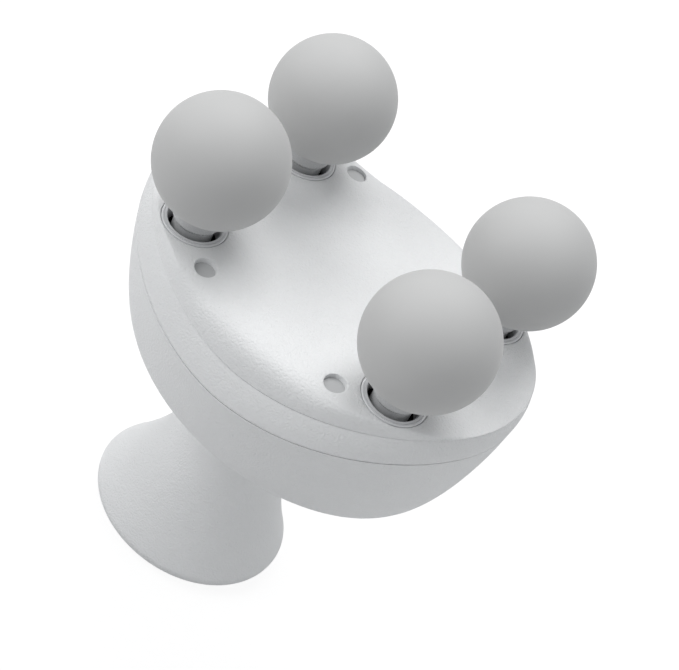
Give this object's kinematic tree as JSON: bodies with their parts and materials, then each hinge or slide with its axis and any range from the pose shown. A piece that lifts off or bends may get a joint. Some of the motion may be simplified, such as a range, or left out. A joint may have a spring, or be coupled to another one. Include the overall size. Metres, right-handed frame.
{
  "type": "handheld massager",
  "caption": "Handheld percussion massager: soft balls on tapping stems over an oval body with a flared knob handle.",
  "frame": {"origin": "centre of the bounding box at its base, on the flat end of the handle", "axes": "+Z from the handle towards the balls, +X along the long side of the body, rocker axis along Y"},
  "size_m": [0.1228, 0.0976, 0.1653],
  "materials": {
    "satin_shell": "satin, finely grained",
    "plug_grey": "satin",
    "steel": "plain",
    "stem_grey": "smooth",
    "inner_plastic": "matte",
    "bush_plastic": "matte",
    "cast_alloy": "as cast",
    "acetal": "smooth",
    "brass": "turned",
    "motor_steel": "drawn",
    "board": "solder resist",
    "socket_black": "smooth",
    "button_grey": "satin",
    "cell_wrap": "shrink film",
    "collar_satin": "silvery satin",
    "silicone": "matte silicone"
  },
  "bodies": {
    "housing": {"front_cover": "satin_shell", "middle_band": "satin_shell", "back_shell": "satin_shell", "screw_plugs": "plug_grey", "cover_screws": "steel", "chassis_plate": "inner_plastic", "pivot_pin": "steel", "drive_motor": "motor_steel", "motor_clamp": "inner_plastic", "clamp_screws": "steel", "control_board": "board", "charging_socket": "socket_black", "handle_shell": "satin_shell", "handle_screws": "steel", "end_cap": "satin_shell", "cap_screws": "steel", "switch_board": "board", "battery_holder": "inner_plastic", "battery_cell": "cell_wrap", "collar_ring_1": "collar_satin", "collar_ring_2": "collar_satin", "collar_ring_3": "collar_satin", "collar_ring_4": "collar_satin", "guide_bush_1": "bush_plastic", "guide_bush_2": "bush_plastic", "guide_bush_3": "bush_plastic", "guide_bush_4": "bush_plastic"},
    "rocker": {"rocker_beam": "cast_alloy", "rod_pin": "steel"},
    "rod": {"connecting_rod": "acetal"},
    "crank": {"crank_disc": "brass", "motor_shaft": "steel"},
    "button": {"power_button": "button_grey"},
    "head_1": {"stem_1": "stem_grey", "link_pin_1": "steel", "ball_core_1": "inner_plastic", "massage_ball_1": "silicone"},
    "head_2": {"stem_2": "stem_grey", "link_pin_2": "steel", "ball_core_2": "inner_plastic", "massage_ball_2": "silicone"},
    "head_3": {"stem_3": "stem_grey", "link_pin_3": "steel", "ball_core_3": "inner_plastic", "massage_ball_3": "silicone"},
    "head_4": {"stem_4": "stem_grey", "link_pin_4": "steel", "ball_core_4": "inner_plastic", "massage_ball_4": "silicone"}
  },
  "joints": [
    {"name": "rocker_pivot", "type": "hinge", "parent": "housing", "child": "rocker", "pos_m": [0, 0, 0.0974], "axis": [0, 1, 0], "range_deg": [-4, 4]},
    {"name": "rod_pivot", "type": "hinge", "parent": "rocker", "child": "rod", "pos_m": [0.014, -0.015, 0.0974], "axis": [0, 1, 0], "range_deg": [-4.05, 4.05]},
    {"name": "motor_spin", "type": "hinge", "parent": "housing", "child": "crank", "pos_m": [0.014, -0.015, 0.0819], "axis": [0, 1, 0], "continuous": true},
    {"name": "button_press", "type": "slide", "parent": "housing", "child": "button", "axis": [0, 0, 1], "range_m": [0, 0.001], "stiffness_N_per_m": 500},
    {"name": "head_1_slide", "type": "slide", "parent": "housing", "child": "head_1", "axis": [0, 0, 1], "range_m": [-0.00255, 0.00255]},
    {"name": "head_2_slide", "type": "slide", "parent": "housing", "child": "head_2", "axis": [0, 0, 1], "range_m": [-0.00255, 0.00255]},
    {"name": "head_3_slide", "type": "slide", "parent": "housing", "child": "head_3", "axis": [0, 0, 1], "range_m": [-0.00255, 0.00255]},
    {"name": "head_4_slide", "type": "slide", "parent": "housing", "child": "head_4", "axis": [0, 0, 1], "range_m": [-0.00255, 0.00255]}
  ],
  "couplings": [
    {"joint": "rod_pivot", "follows": "rocker_pivot", "ratio": -1},
    {"joint": "head_1_slide", "follows": "rocker_pivot", "m_per_rad": 0.0357},
    {"joint": "head_2_slide", "follows": "rocker_pivot", "m_per_rad": 0.0357},
    {"joint": "head_3_slide", "follows": "rocker_pivot", "m_per_rad": -0.0357},
    {"joint": "head_4_slide", "follows": "rocker_pivot", "m_per_rad": -0.0357}
  ]
}
